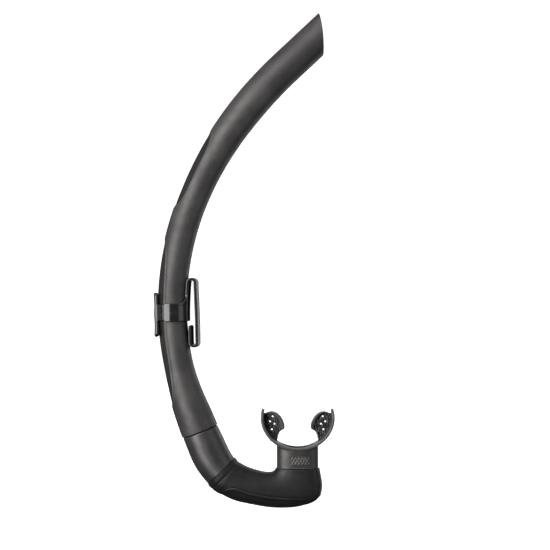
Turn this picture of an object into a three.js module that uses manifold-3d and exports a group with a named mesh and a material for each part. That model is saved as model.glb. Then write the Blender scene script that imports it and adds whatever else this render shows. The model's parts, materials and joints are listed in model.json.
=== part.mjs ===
// A freediving snorkel: a curved soft barrel that pushes onto a short joint, a J-shaped elbow, a silicone
// mouthpiece, and a clip for the mask strap that slides along the barrel's back.
//
// Millimetres, +Z up. The whole airway lies in the XZ plane. +X points from the barrel to the mouthpiece, and
// Y is across the snorkel. The origin is the middle of the mouthpiece, where its passage opens to the lips.
import * as THREE from "three";
import { mergeVertices } from "three/addons/utils/BufferGeometryUtils.js";
import Module from "manifold-3d";

const wasm = await Module();
wasm.setup();

// ---------------------------------------------------------------------------------------- driving dimensions
const degree = Math.PI / 180;

const slip = 0.3; // between pieces that are fixed together
const glide = 0.35; // between pieces that slide or turn on each other

// The airway's centreline starts at the joint plane, where the barrel's end face meets the sleeve. It leans
// from vertical towards -X there. Each arc bends it on from where the last one ends.
const airway = {
  bore: 10.2, // radius of the round passage
  joint: new THREE.Vector2(-84.9, 14.0),
  lean: 21.4 * degree,
  upStraight: 20.5,
  upArcs: [
    { radius: 245.5, turn: 41.1 * degree }, // the stretch that the clip slides along
    { radius: 295, turn: 17.5 * degree },
    { radius: 370, turn: 9.8 * degree },
  ],
  downStraight: 16.3,
  downArcs: [{ radius: 56.6, turn: 23.1 * degree }],
};

// The hard core runs from a spigot in the barrel to a spigot in the elbow.
const core = { wall: 2.2, upperSpigot: 17.5, lowerSpigot: 12, lead: 1.2 };
const oRing = { radius: 0.75, at: 8.5, sunk: 1.4 };
const liner = { wall: 1.15, spare: 1 }; // it reaches past the core's tip
const sleeve = { wall: 3.2, edge: 0.8, swell: 1.3 };

const barrel = {
  length: 402.5, // along its centreline, to the tip of the slanted end
  waistWall: 3.0, // behind the mask strap
  footWall: 2.2, // round the socket
  footTaper: 66,
  topWall: 4.7,
  topTaperStart: 193,
  topTaper: 122,
  socketSpare: 2.5, // of the socket, past the core's tip
  cutTurn: 6.5 * degree, // of the slanted end face, from vertical
  cutBulge: 150, // radius of that face, seen from the side
};

// Boat-shaped flutes, moulded into the back of the curve. The strap clip's key runs in the lower one.
const flute = { depth: 0.9, bluntness: 0.12 };
const upperFlute = { from: 194, to: 267, reach: 60 * degree };
const lowerFlute = { from: 28.5, to: 166, reach: 66 * degree };
const elbowFlute = { from: 0.17, to: 0.8, reach: 74 * degree }; // in shares of the elbow's length

const clip = {
  at: 107, // along the barrel's centreline from the joint plane
  height: 15.8, // of the ring that grips the barrel
  wall: 2.0,
  reach: 115 * degree, // of each jaw, from the hook round the barrel
};
const hook = {
  width: 16.6, // across
  thickness: 2.4,
  slot: 5.5, // between its two arms
  lipSlot: 2.8, // between the outer arm and the lip
  top: 29.6,
  foot: -30.9,
  lipTop: -11.3,
};
const plate = { top: 17.4, foot: -21.2, thickness: 1.9, crown: 29, proud: 0.15, corner: 4 };
const key = { reach: 34 * degree }; // of the back plate, in the barrel's lower flute

const mouthpiece = {
  width: 64.2, // of the lip shield
  depth: 28.9, // from its lowest point to its middle
  thickness: 2.6,
  height: 22,
  tip: 33.4,
  tipRound: 8,
  sleeveWidth: 36.3,
  sleeveDepth: 21.8,
  wall: 2.2,
};
const tab = { thickness: 3.2, ridgeHeight: 8.4, ridgeWidth: 2.6, hole: 0.95 };
const mouthSpigot = { wall: 1.9, top: -4.5, length: 25.5, bead: 0.7, beadAt: -8.5, beadHalf: 1 };
const neck = { top: -18.1, proud: 1.1 }; // where the elbow ends, under the mouthpiece
const collar = { proud: 0.3, bead: 0.3, length: 5.2 }; // where the elbow starts, under the sleeve
const elbowWall = { start: 6, end: 4.6 };
const ovalPower = 2.7; // of the superellipse that the oval pieces share

const facets = { round: 28, bore: 20, seal: 6, flute: 14, fluteAcross: 6 };

// ------------------------------------------------------------------------------------------- fitted sizes
const spigotRadius = airway.bore + core.wall;
const linerInner = spigotRadius + glide;
const linerOuter = linerInner + liner.wall;
const socketRadius = linerOuter + slip;
const socketDepth = core.upperSpigot + barrel.socketSpare;
const sleeveRadius = spigotRadius + slip + sleeve.wall;
const collarRadius = sleeveRadius + collar.proud;
const waist = airway.bore + barrel.waistWall;
const ringInner = waist + glide;
const spigotWidth = mouthpiece.sleeveWidth / 2 - mouthpiece.wall - slip;
const spigotDepth = mouthpiece.sleeveDepth / 2 - mouthpiece.wall - slip;

// ------------------------------------------------------------------------------------------------- solids
function solid(geometry) {
  const bare = geometry.index ? geometry.toNonIndexed() : geometry.clone();
  for (const name of Object.keys(bare.attributes)) if (name !== "position") bare.deleteAttribute(name);
  const merged = mergeVertices(bare, 1e-4);
  return new wasm.Manifold(
    new wasm.Mesh({
      numProp: 3,
      vertProperties: merged.attributes.position.array,
      triVerts: new Uint32Array(merged.index.array),
    }),
  );
}

function geometryOf(made) {
  const mesh = made.getMesh();
  const geometry = new THREE.BufferGeometry();
  geometry.setAttribute("position", new THREE.BufferAttribute(mesh.vertProperties, mesh.numProp));
  geometry.setIndex(new THREE.BufferAttribute(mesh.triVerts, 1));
  return geometry;
}

const joined = (first, ...others) => others.reduce((all, next) => all.add(next), first);
const without = (body, ...cutters) => cutters.reduce((left, cutter) => left.subtract(cutter), body);

// Moves every vertex of a plain geometry to where place(x, y, z) says.
function warp(geometry, place) {
  const position = geometry.attributes.position;
  const at = new THREE.Vector3();
  for (let i = 0; i < position.count; i++) {
    at.fromBufferAttribute(position, i);
    position.setXYZ(i, ...place(at.x, at.y, at.z).toArray());
  }
  return geometry;
}

const { lerp, clamp } = THREE.MathUtils;
const smooth = (x) => THREE.MathUtils.smoothstep(x, 0, 1);
const spaced = (from, to, steps) => Array.from({ length: steps + 1 }, (_, i) => lerp(from, to, i / steps));

// ------------------------------------------------------------------------------------------------ airway
// The centreline's point and lean at s millimetres from the joint plane: up the barrel, or down if negative.
function centreline(s) {
  const way = Math.sign(s);
  const point = airway.joint.clone();
  let lean = airway.lean;
  let left = Math.abs(s);
  const advance = (length) => {
    point.x -= way * length * Math.sin(lean);
    point.y += way * length * Math.cos(lean);
    left -= length;
  };
  advance(Math.min(left, way < 0 ? airway.downStraight : airway.upStraight));
  for (const { radius, turn } of way < 0 ? airway.downArcs : airway.upArcs) {
    const angle = Math.min(left / radius, turn);
    const next = lean - angle * way;
    point.x += radius * (Math.cos(lean) - Math.cos(next));
    point.y += radius * (Math.sin(lean) - Math.sin(next));
    lean = next;
    left -= radius * angle;
  }
  advance(left);
  return { point, lean };
}

// A point at a radius from the centreline; angle 0 is the inside of the curve, and 180 degrees its back.
function aroundAirway(s, radius, angle) {
  const { point, lean } = centreline(s);
  const out = radius * Math.cos(angle);
  const across = -radius * Math.sin(angle);
  return new THREE.Vector3(point.x + out * Math.cos(lean), across, point.y + out * Math.sin(lean));
}

// Turns an outline of [radius, s] pairs about the airway, from the outside up and back down the inside.
// swell(s, angle) widens it.
function turned(outline, swell = () => 0) {
  const profile = outline.map(([radius, s]) => new THREE.Vector2(radius, s));
  return solid(
    warp(new THREE.LatheGeometry(profile, facets.round), (x, s, z) => {
      const angle = Math.atan2(z, x);
      return aroundAirway(s, Math.hypot(x, z) + swell(s, angle), angle);
    }),
  );
}

const tube = (outline, swell) => turned([...outline, outline[0]], swell);
const straightWall = (radius, from, to, steps) => spaced(from, to, steps).map((s) => [radius, s]);
function plug(radius, from, to, steps) {
  return turned([[0, from], ...straightWall(radius, from, to, steps), [0, to]]);
}

// Cuts a boat-shaped flute: a box bent over a surface. surface(along, angle, depth) is a point under it.
function fluteCutter(surface, { from, to, reach }) {
  const box = new THREE.BoxGeometry(1, 1, 1, facets.flute, facets.fluteAcross, 1);
  const clear = 3; // above the skin
  return solid(
    warp(box, (x, y, z) => {
      const fullness = Math.sqrt(Math.max(0, 1 - (2 * x) ** 4));
      const angle = 2 * y * reach * Math.max(fullness, flute.bluntness);
      return surface(lerp(from, to, x + 0.5), angle, z > 0 ? -clear : flute.depth);
    }),
  );
}

// ------------------------------------------------------------------------------------------------ barrel
function barrelRadius(s) {
  const foot = smooth(1 - s / barrel.footTaper);
  const top = smooth((s - barrel.topTaperStart) / barrel.topTaper);
  return waist + (socketRadius + barrel.footWall - waist) * foot + (barrel.topWall - barrel.waistWall) * top;
}

const barrelBack = (s, angle, depth) => aroundAirway(s, barrelRadius(s) - depth, Math.PI + angle);

// The slanted open end: everything beyond a slightly bulging face that leans a little from vertical.
function endCutter(spare) {
  const { length, cutTurn, cutBulge } = barrel;
  const radius = barrelRadius(length);
  const tip = aroundAirway(length, radius, Math.PI);
  const face = (2 * radius) / Math.cos(Math.PI / 2 - Math.abs(centreline(length).lean) - cutTurn);
  const sunk = Math.sqrt(cutBulge ** 2 - (face / 2) ** 2);
  const place = (geometry) => solid(geometry.rotateY(-cutTurn).translate(tip.x, 0, tip.z));
  const beyond = place(new THREE.BoxGeometry(2 * spare, 4 * radius, 4 * spare).translate(spare, 0, 0));
  const bulge = new THREE.CylinderGeometry(cutBulge, cutBulge, 6 * radius, 240);
  return beyond.subtract(place(bulge.translate(-sunk, 0, -face / 2)));
}

function makeBarrel() {
  const { length, footTaper } = barrel;
  const spare = 2 * barrelRadius(length); // past the tip, which the slanted face cuts off
  const outside = [...spaced(0, footTaper, 6), ...spaced(footTaper, length + spare, 24).slice(1)];
  const body = tube([
    ...outside.map((s) => [barrelRadius(s), s]),
    ...straightWall(airway.bore, length + spare, socketDepth, 20),
    [socketRadius, socketDepth],
    [socketRadius, 0],
  ]);
  const flutes = [upperFlute, lowerFlute].map((place) => fluteCutter(barrelBack, place));
  return without(body, endCutter(2 * spare), ...flutes);
}

function makeLiner() {
  const top = core.upperSpigot + liner.spare + slip;
  return tube([
    [linerOuter, slip],
    [linerOuter, top],
    [linerInner, top],
    [linerInner, slip],
  ]);
}

// ------------------------------------------------------------------------------------------------- joint
const arcLength = (arc) => arc.radius * arc.turn;
const jointLength = airway.downStraight + airway.downArcs.map(arcLength).reduce((sum, part) => sum + part);
const grooveFloor = spigotRadius - oRing.sunk;

function makeORing() {
  const middle = grooveFloor + slip / 2 + oRing.radius;
  const section = spaced(0, 2 * Math.PI, facets.seal).slice(1);
  const { radius, at } = oRing;
  return tube(section.map((a) => [middle + radius * Math.cos(a), at + radius * Math.sin(a)]));
}

function makeJointCore() {
  const groove = oRing.radius + slip;
  const { lead, upperSpigot, lowerSpigot } = core;
  const foot = -jointLength - lowerSpigot;
  return tube([
    [spigotRadius - lead, foot],
    ...straightWall(spigotRadius, foot + lead, oRing.at - groove, 9),
    [grooveFloor, oRing.at - groove],
    [grooveFloor, oRing.at + groove],
    [spigotRadius, oRing.at + groove],
    [spigotRadius, upperSpigot - lead],
    [spigotRadius - lead, upperSpigot],
    ...straightWall(airway.bore, upperSpigot, foot, 9),
  ]);
}

// The sleeve swells towards the inside of the bend, which fills the crook of the joint.
function makeSleeve() {
  const { edge, swell } = sleeve;
  const outside = straightWall(sleeveRadius, -jointLength, -slip - edge, 8);
  const inside = straightWall(airway.bore, -slip, -jointLength, 8); // bored out below
  const body = tube([...outside, [sleeveRadius - edge / 2, -slip], ...inside], (s, angle) => {
    const along = clamp(-s / jointLength, 0, 1);
    return swell * Math.sin(Math.PI * along) * Math.max(0, Math.cos(angle));
  });
  return body.subtract(plug(spigotRadius + slip, -jointLength - 1, 1, 9));
}

// ------------------------------------------------------------------------------------------------- elbow
// Each station is a section across the passage: its end on the inside of the bend, its end on the outside,
// and half its depth in Y. The first two lie on the joint core's lower spigot, and the last is the neck.
const elbowStart = centreline(-jointLength);
const neckHalf = {
  width: mouthpiece.sleeveWidth / 2 + neck.proud,
  depth: mouthpiece.sleeveDepth / 2 + neck.proud,
};

function atStart(across, down) {
  const { point, lean } = elbowStart;
  const x = point.x + across * Math.cos(lean) + down * Math.sin(lean);
  return new THREE.Vector2(x, point.y + across * Math.sin(lean) - down * Math.cos(lean));
}

const underNeck = (x, down) => new THREE.Vector2(x, neck.top - down);
const heel = 0.6; // that the outside of the bend stands proud, past the collar
const stations = [
  { inner: atStart(collarRadius, slip), outer: atStart(-collarRadius, slip), depth: collarRadius },
  {
    inner: atStart(collarRadius, collar.length),
    outer: atStart(-collarRadius - heel, collar.length),
    depth: collarRadius - collar.proud / 2,
  },
  { inner: underNeck(-43.5, -1.2), outer: underNeck(-58.2, 27.8), depth: 15.7 },
  { inner: underNeck(-34, 2), outer: underNeck(-41, 32.1), depth: 15.2 },
  { inner: underNeck(-26.4, 3.4), outer: underNeck(-20, 35.1), depth: 14.6 },
  { inner: underNeck(-neckHalf.width - 3, 3.1), outer: underNeck(2, 33.8), depth: 14.0 },
  { inner: underNeck(-neckHalf.width - 1, 1.8), outer: underNeck(neckHalf.width - 1.6, 27.7), depth: 13.3 },
  { inner: underNeck(-neckHalf.width - 0.3, 1), outer: underNeck(neckHalf.width + 2.2, 16.9), depth: 12.5 },
  { inner: underNeck(-neckHalf.width, 0), outer: underNeck(neckHalf.width, 0), depth: neckHalf.depth },
];

function curveThrough(points) {
  const inPlane = points.map((point) => new THREE.Vector3(point.x, 0, point.y));
  return new THREE.CatmullRomCurve3(inPlane, false, "centripetal");
}

const innerCurve = curveThrough(stations.map((station) => station.inner));
const outerCurve = curveThrough(stations.map((station) => station.outer));

function stationDepth(t) {
  const place = clamp(t, 0, 1) * (stations.length - 1);
  const i = Math.min(Math.floor(place), stations.length - 2);
  return lerp(stations[i].depth, stations[i + 1].depth, place - i);
}

// A superellipse of unit size: a circle when its power is 2.
function rounded(angle, power) {
  const [c, s] = [Math.cos(angle), Math.sin(angle)];
  return [Math.sign(c) * Math.abs(c) ** (2 / power), Math.sign(s) * Math.abs(s) ** (2 / power)];
}

// A point under the elbow's skin; angle 0 is the outside of the bend.
function elbowSkin(t, angle, inset) {
  const inner = innerCurve.getPoint(t);
  const outer = outerCurve.getPoint(t);
  const half = outer.distanceTo(inner) / 2;
  const [along, across] = rounded(angle, lerp(2, ovalPower, smooth(1.3 * t)));
  const out = outer.clone().sub(inner).normalize();
  const at = inner.add(outer).multiplyScalar(0.5).addScaledVector(out, along * (half - inset));
  at.y = -across * (stationDepth(t) - inset);
  return at;
}

// A lofted body through the stations, inset(t) under the skin, with flat ends.
function elbowLoft(inset, from, to, steps, segments) {
  const body = new THREE.CylinderGeometry(1, 1, 1, segments, steps);
  return solid(
    warp(body, (x, y, z) => {
      const t = lerp(from, to, y + 0.5);
      const isCentre = Math.hypot(x, z) < 0.5;
      if (isCentre) return elbowSkin(t, 0, 0).add(elbowSkin(t, Math.PI, 0)).multiplyScalar(0.5);
      return elbowSkin(t, Math.atan2(z, x), inset(t));
    }),
  );
}

function makeElbow() {
  const end = -jointLength - slip;
  const { bead, length } = collar;
  const ring = tube([
    [collarRadius - 2, end + slip - length],
    [collarRadius - bead, end + slip - length],
    [collarRadius + bead, end + slip - length + 1],
    [collarRadius + bead, end],
    [collarRadius - 2, end],
  ]);
  const socketFoot = end - core.lowerSpigot;
  const socket = plug(spigotRadius + slip, socketFoot, end + 2, 2);
  const throat = plug(airway.bore, socketFoot - 4, socketFoot + 2, 2);
  const wall = (t) => lerp(elbowWall.start, elbowWall.end, smooth(t));
  const passage = elbowLoft(wall, 0.17, 0.93, 14, facets.bore);
  const pocketFoot = mouthSpigot.top - mouthSpigot.length - slip;
  const pocket = oval(spigotWidth + slip, spigotDepth + slip, pocketFoot, neck.top + 2);
  const body = elbowLoft(() => 0, 0, 1, 26, facets.round).add(ring);
  return without(body, socket, throat, passage, pocket, fluteCutter(elbowSkin, elbowFlute));
}

// -------------------------------------------------------------------------------------------- mouthpiece
// An upright oval prism about the Z axis. width and depth are half its size.
function oval(width, depth, foot, top) {
  const angles = spaced(0, 2 * Math.PI, facets.round).slice(1);
  const size = new THREE.Vector2(width, depth);
  const outline = angles.map((angle) => new THREE.Vector2(...rounded(angle, ovalPower)).multiply(size));
  const options = { depth: top - foot, bevelEnabled: false };
  return solid(new THREE.ExtrudeGeometry(new THREE.Shape(outline), options).translate(0, 0, foot));
}

// A shape drawn in XZ, made thick across Y.
function across(shape, thickness, curveSegments = 20) {
  const made = new THREE.ExtrudeGeometry(shape, { depth: thickness, bevelEnabled: false, curveSegments });
  return solid(made.translate(0, 0, -thickness / 2).rotateX(Math.PI / 2));
}

// A hard oval spigot joins the elbow's neck to the mouthpiece, which snaps over its bead.
function makeMouthSpigot() {
  const { wall, top, length, bead, beadAt, beadHalf } = mouthSpigot;
  const foot = top - length;
  const ridge = oval(spigotWidth + bead, spigotDepth + bead, beadAt - beadHalf, beadAt + beadHalf);
  const hollow = oval(spigotWidth - wall, spigotDepth - wall, foot - 1, top + 1);
  return oval(spigotWidth, spigotDepth, foot, top).add(ridge).subtract(hollow);
}

// The lip shield's outline seen from the front, an ellipse, moved in by an inset.
function shieldShape(inset) {
  const { width, depth, thickness } = mouthpiece;
  const shape = new THREE.Shape();
  shape.absellipse(0, depth - thickness, width / 2 - inset, depth - inset, 0, 2 * Math.PI, false);
  return shape;
}

// The shield seen from the side, with its rounded tips: it is open upwards.
function shieldSide() {
  const { height, width, depth, tip, tipRound } = mouthpiece;
  const half = height / 2;
  const side = new THREE.Shape();
  side.moveTo(-half, -depth).lineTo(half, -depth).lineTo(half, tip - tipRound);
  side.absarc(half - tipRound, tip - tipRound, tipRound, 0, Math.PI / 2, false);
  side.absarc(tipRound - half, tip - tipRound, tipRound, Math.PI / 2, Math.PI, false);
  const slab = new THREE.ExtrudeGeometry(side, { depth: 2 * width, bevelEnabled: false, curveSegments: 5 });
  return solid(slab.translate(0, 0, -width).rotateX(Math.PI / 2).rotateZ(Math.PI / 2));
}

// The bite tab on the left, seen from the front: the edge that the teeth close behind, and the way back down.
// x is measured from the shield's middle line, and z from the origin.
const shieldReach = mouthpiece.width / 2;
const tabEdge = [
  [-shieldReach + 3.5, 29.6],
  [-25.6, 30.8],
  [-22.2, 31.4],
  [-18.0, 29.9],
  [-14.5, 26.6],
  [-12.2, 22.4],
  [-11.2, 18.4],
  [-11.6, 16.0],
];
const tabFoot = [
  [-15.2, 14.0],
  [-16.8, 10.6],
  [-17.4, 7.0],
  [-19.0, 3.6],
  [-shieldReach, 3.6],
  [-shieldReach, 22],
];
const tabHoles = [
  [-21.8, 26.9],
  [-24.0, 22.6],
  [-20.2, 20.4],
  [-22.3, 15.6],
];
const mirrored = (points, side) => points.map(([x, z]) => new THREE.Vector2(-side * x, z));

// side is -1 on the left and 1 on the right. A raised ridge follows the free edge.
function makeTab(side) {
  const edge = new THREE.SplineCurve(mirrored(tabEdge, side)).getPoints(18);
  const outline = new THREE.Shape([...edge, ...mirrored(tabFoot, side)]);
  const ridgeEdge = edge.slice(7);
  const behind = new THREE.Vector2(side * tab.ridgeWidth, -0.4);
  const ridgeBack = ridgeEdge.map((point) => point.clone().add(behind)).reverse();
  const ridge = across(new THREE.Shape([...ridgeEdge, ...ridgeBack]), tab.ridgeHeight);
  const holes = mirrored(tabHoles, side).map((at) => {
    const drill = new THREE.CylinderGeometry(tab.hole, tab.hole, 2 * tab.ridgeHeight, 12);
    return solid(drill.translate(at.x, 0, at.y));
  });
  return without(across(outline, tab.thickness).add(ridge), ...holes);
}

function makeMouthpiece() {
  const { thickness, height, sleeveWidth, sleeveDepth } = mouthpiece;
  const within = across(shieldShape(thickness), 4 * height, 40);
  const shield = across(shieldShape(0), height, 40).subtract(within).intersect(shieldSide());
  const tabs = makeTab(-1).add(makeTab(1)).intersect(across(shieldShape(thickness / 2), height, 40));
  const sleeveTop = 8;
  const tubeWall = oval(sleeveWidth / 2, sleeveDepth / 2, neck.top + slip, sleeveTop).subtract(within);
  const { wall, top, bead, beadAt, beadHalf } = mouthSpigot;
  const bore = oval(spigotWidth + slip, spigotDepth + slip, neck.top - 1, top + slip);
  const throat = oval(spigotWidth - wall, spigotDepth - wall, top - 1, sleeveTop);
  const high = beadHalf + slip;
  const deep = bead + slip;
  const groove = oval(spigotWidth + deep, spigotDepth + deep, beadAt - high, beadAt + high);
  return without(joined(shield, tubeWall, tabs), bore, throat, groove);
}

// -------------------------------------------------------------------------------------------- strap clip
// The clip is drawn about the barrel's centreline: x is outwards on the inside of the curve, and z is up it.
// Part of a ring about the centreline, from one angle to another.
function jaw(inner, outer, from, to, height, curveSegments) {
  const shape = new THREE.Shape();
  shape.absarc(0, 0, outer, from, to, false);
  shape.absarc(0, 0, inner, to, from, true);
  const made = new THREE.ExtrudeGeometry(shape, { depth: height, bevelEnabled: false, curveSegments });
  return solid(made.translate(0, 0, -height / 2));
}

// The outline of a strip of even thickness along a path, with square ends.
function ribbon(path, thickness, divisions) {
  const points = path.getSpacedPoints(divisions);
  const last = points.length - 1;
  const sides = [0.5, -0.5].map((way) =>
    points.map((point, i) => {
      const along = points[Math.min(i + 1, last)].clone().sub(points[Math.max(i - 1, 0)]).normalize();
      return new THREE.Vector2(-along.y, along.x).multiplyScalar(thickness * way).add(point);
    }),
  );
  return new THREE.Shape([...sides[0], ...sides[1].reverse()]);
}

// The J-shaped hook that the mask strap slides into. Its inner arm follows the barrel's curve.
function makeHook() {
  const { width, thickness, slot, lipSlot, top, foot, lipTop } = hook;
  const innerArm = ringInner + thickness / 2;
  const outerArm = innerArm + thickness + slot;
  const lip = outerArm - thickness - lipSlot;
  const topTurn = top - thickness / 2;
  const barrelBows = topTurn ** 2 / (2 * airway.upArcs[0].radius);
  const armTop = innerArm + barrelBows;
  const topRadius = (outerArm - armTop) / 2;
  const footRadius = (outerArm - lip) / 2;
  const path = new THREE.Path();
  path.moveTo(innerArm + 0.1, -clip.height / 2);
  path.quadraticCurveTo(innerArm, clip.height / 2, armTop, topTurn - topRadius);
  path.absarc(armTop + topRadius, topTurn - topRadius, topRadius, Math.PI, 0, true);
  path.absarc(outerArm - footRadius, foot + thickness / 2 + footRadius, footRadius, 0, -Math.PI, true);
  path.lineTo(lip, lipTop);
  const outline = ribbon(path, thickness, 56);
  const strip = new THREE.ExtrudeGeometry(outline, { depth: width, steps: 7, bevelEnabled: false });
  strip.translate(0, 0, -width / 2).rotateX(Math.PI / 2);
  const curve = ringInner + thickness; // the strip is curved across, as the ring is
  const bowed = (x, y, z) => new THREE.Vector3(x - curve + Math.sqrt(curve ** 2 - y * y), y, z);
  return solid(warp(strip, bowed));
}

function makeStrapClip() {
  return jaw(ringInner, ringInner + clip.wall, -clip.reach, clip.reach, clip.height, 28).add(makeHook());
}

// Closes the ring behind the barrel: a curved block between the jaws, under a crowned thumb plate. Its key
// runs in the barrel's flute, so that the clip slides but can't turn.
function makeBackPlate() {
  const { top, foot, thickness, crown, proud, corner } = plate;
  const back = (inner, outer, reach, height, segments) =>
    jaw(inner, outer, Math.PI - reach, Math.PI + reach, height, segments);
  const blockReach = Math.PI - clip.reach - slip / ringInner;
  const block = back(ringInner, ringInner + clip.wall, blockReach, clip.height, 16);
  const keyPiece = back(waist - flute.depth + glide, ringInner + clip.wall / 2, key.reach, clip.height, 10);
  const outside = ringInner + clip.wall + proud;
  const half = hook.width / 2;
  const bow = 1.2 * Math.asin(half / crown);
  const shell = back(crown - thickness, crown, bow, 4 * top, 10).translate([crown - outside, 0, 0]);
  const plan = new THREE.Shape();
  plan.absarc(half - corner, foot + corner, corner, -Math.PI / 2, 0, false);
  plan.absarc(half - corner, top - corner, corner, 0, Math.PI / 2, false);
  plan.absarc(corner - half, top - corner, corner, Math.PI / 2, Math.PI, false);
  plan.absarc(corner - half, foot + corner, corner, Math.PI, 1.5 * Math.PI, false);
  const depth = ringInner;
  const slab = new THREE.ExtrudeGeometry(plan, { depth, bevelEnabled: false, curveSegments: 4 });
  slab.rotateX(Math.PI / 2).rotateZ(Math.PI / 2).translate(-outside - depth / 2, 0, 0);
  return joined(shell.intersect(solid(slab)), block, keyPiece);
}

// -------------------------------------------------------------------------------------------------- parts
const finishes = {
  barrelRubber: { color: 0x2b2a2a, roughness: 0.72 },
  sleeveRubber: { color: 0x2a2928, roughness: 0.55 },
  elbowRubber: { color: 0x202022, roughness: 0.6 },
  silicone: { color: 0x232121, roughness: 0.5 },
  polishedPlastic: { color: 0x141414, roughness: 0.15 },
  satinPlastic: { color: 0x1a1a1b, roughness: 0.4 },
  seal: { color: 0x101010, roughness: 0.6 },
};

const snorkel = new THREE.Group();

function addPiece(name, made, finish, parent = snorkel) {
  const material = new THREE.MeshStandardMaterial({ ...finishes[finish], metalness: 0 });
  const mesh = new THREE.Mesh(geometryOf(made), material);
  mesh.name = name;
  parent.add(mesh);
}

addPiece("barrel", makeBarrel(), "barrelRubber");
addPiece("barrel_socket_liner", makeLiner(), "satinPlastic");
addPiece("barrel_o_ring", makeORing(), "seal");
addPiece("joint_core", makeJointCore(), "satinPlastic");
addPiece("joint_sleeve", makeSleeve(), "sleeveRubber");
addPiece("elbow", makeElbow(), "elbowRubber");
addPiece("mouthpiece_spigot", makeMouthSpigot(), "satinPlastic");
addPiece("mouthpiece", makeMouthpiece(), "silicone");

const keeper = new THREE.Group(); // slides along the barrel's first arc
const keeperSeat = centreline(clip.at);
keeper.position.set(keeperSeat.point.x, 0, keeperSeat.point.y);
keeper.rotation.y = -keeperSeat.lean;
snorkel.add(keeper);
addPiece("strap_clip", makeStrapClip(), "polishedPlastic", keeper);
addPiece("clip_back_plate", makeBackPlate(), "satinPlastic", keeper);

export default snorkel;
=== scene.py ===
# %% [markdown]
# # A freediving snorkel
# The snorkel is a soft curved barrel that pushes onto a short joint, a J-shaped elbow, a silicone
# mouthpiece and a clip for the mask strap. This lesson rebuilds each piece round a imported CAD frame, gives
# it a procedural finish, and lights it as a studio would. The frame comes first, because every piece takes
# its place from it.

import json
import math
from functools import lru_cache

import bmesh
import bpy
from mathutils import Matrix, Vector


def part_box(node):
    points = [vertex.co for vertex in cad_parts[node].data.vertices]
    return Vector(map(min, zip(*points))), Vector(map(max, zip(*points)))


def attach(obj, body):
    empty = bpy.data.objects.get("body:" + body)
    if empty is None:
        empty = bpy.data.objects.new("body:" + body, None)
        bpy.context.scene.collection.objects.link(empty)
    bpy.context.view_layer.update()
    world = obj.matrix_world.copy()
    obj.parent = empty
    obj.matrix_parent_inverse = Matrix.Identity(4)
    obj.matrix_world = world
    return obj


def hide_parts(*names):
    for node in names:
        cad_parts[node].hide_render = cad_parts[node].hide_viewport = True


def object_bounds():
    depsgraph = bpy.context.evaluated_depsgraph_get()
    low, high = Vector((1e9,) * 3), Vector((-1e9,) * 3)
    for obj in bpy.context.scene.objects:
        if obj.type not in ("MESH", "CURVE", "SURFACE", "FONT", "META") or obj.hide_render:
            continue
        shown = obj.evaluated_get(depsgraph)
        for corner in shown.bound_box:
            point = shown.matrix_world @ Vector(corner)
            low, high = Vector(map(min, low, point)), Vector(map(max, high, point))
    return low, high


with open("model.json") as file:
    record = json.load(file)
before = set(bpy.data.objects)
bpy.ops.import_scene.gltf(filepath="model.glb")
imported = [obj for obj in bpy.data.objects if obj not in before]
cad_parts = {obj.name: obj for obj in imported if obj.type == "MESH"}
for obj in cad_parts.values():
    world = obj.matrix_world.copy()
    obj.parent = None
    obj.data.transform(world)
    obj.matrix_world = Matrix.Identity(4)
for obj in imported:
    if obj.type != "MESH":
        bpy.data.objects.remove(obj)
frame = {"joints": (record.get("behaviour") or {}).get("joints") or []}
cad_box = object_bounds()
print("CAD box in metres:", [tuple(round(x, 4) for x in corner) for corner in cad_box])

# %% [markdown]
# Shapes are drawn in millimetres and made metres when they are finished, because a maker thinks in
# millimetres. The same few sizes decide every fit: the bore, the walls, and the clearances between pieces
# that slide or stay put.

# %% The snorkel's sizes, in millimetres
METRES = 0.001
DEGREE = math.pi / 180
SLIP = 0.3  # between pieces that are fixed together
GLIDE = 0.35  # between pieces that slide or turn
BORE = 10.2
SPIGOT = BORE + 2.2
LINER_INNER = SPIGOT + GLIDE
LINER_OUTER = LINER_INNER + 1.15
SOCKET = LINER_OUTER + SLIP
SOCKET_DEPTH = 20
WAIST = BORE + 3
SLEEVE = SPIGOT + SLIP + 3.2
COLLAR = SLEEVE + 0.3
RING_INNER = WAIST + GLIDE
RING_WALL = 2.0
BARREL_LENGTH = 402.5
print("spigot, socket and waist radius:", SPIGOT, SOCKET, WAIST)


# %% [markdown]
# ## The airway
# The barrel isn't a straight tube bent by eye: its centreline is a straight run and three arcs, as the
# mould's is. The swivel joint says where it starts and how it leans, and the clip's slide says where the
# first arc has its centre. A curve object could carry the tube, but a formula lets every ring, flute and
# seam share one distance, s.

# %% The centreline
JOINTS = {joint["name"]: joint for joint in frame["joints"]}
JOINT_PLANE = Vector(JOINTS["barrel_swivel"]["pos_m"]) / METRES
UP_AXIS = Vector(JOINTS["barrel_swivel"]["axis"])
LEAN = math.atan2(-UP_AXIS.x, UP_AXIS.z)
TO_ARC = Vector(JOINTS["keeper_slide"]["pos_m"]) / METRES - JOINT_PLANE
SLIDE_RADIUS = TO_ARC.dot(Vector((math.cos(LEAN), 0, math.sin(LEAN))))
# each way: a straight run, then arcs of (radius, degrees)
UPWARDS = (TO_ARC.dot(UP_AXIS), [(SLIDE_RADIUS, 41.1), (295, 17.5), (370, 9.8)])
DOWNWARDS = (16.3, [(56.6, 23.1)])
JOINT_LENGTH = DOWNWARDS[0] + sum(radius * turn * DEGREE for radius, turn in DOWNWARDS[1])


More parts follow.
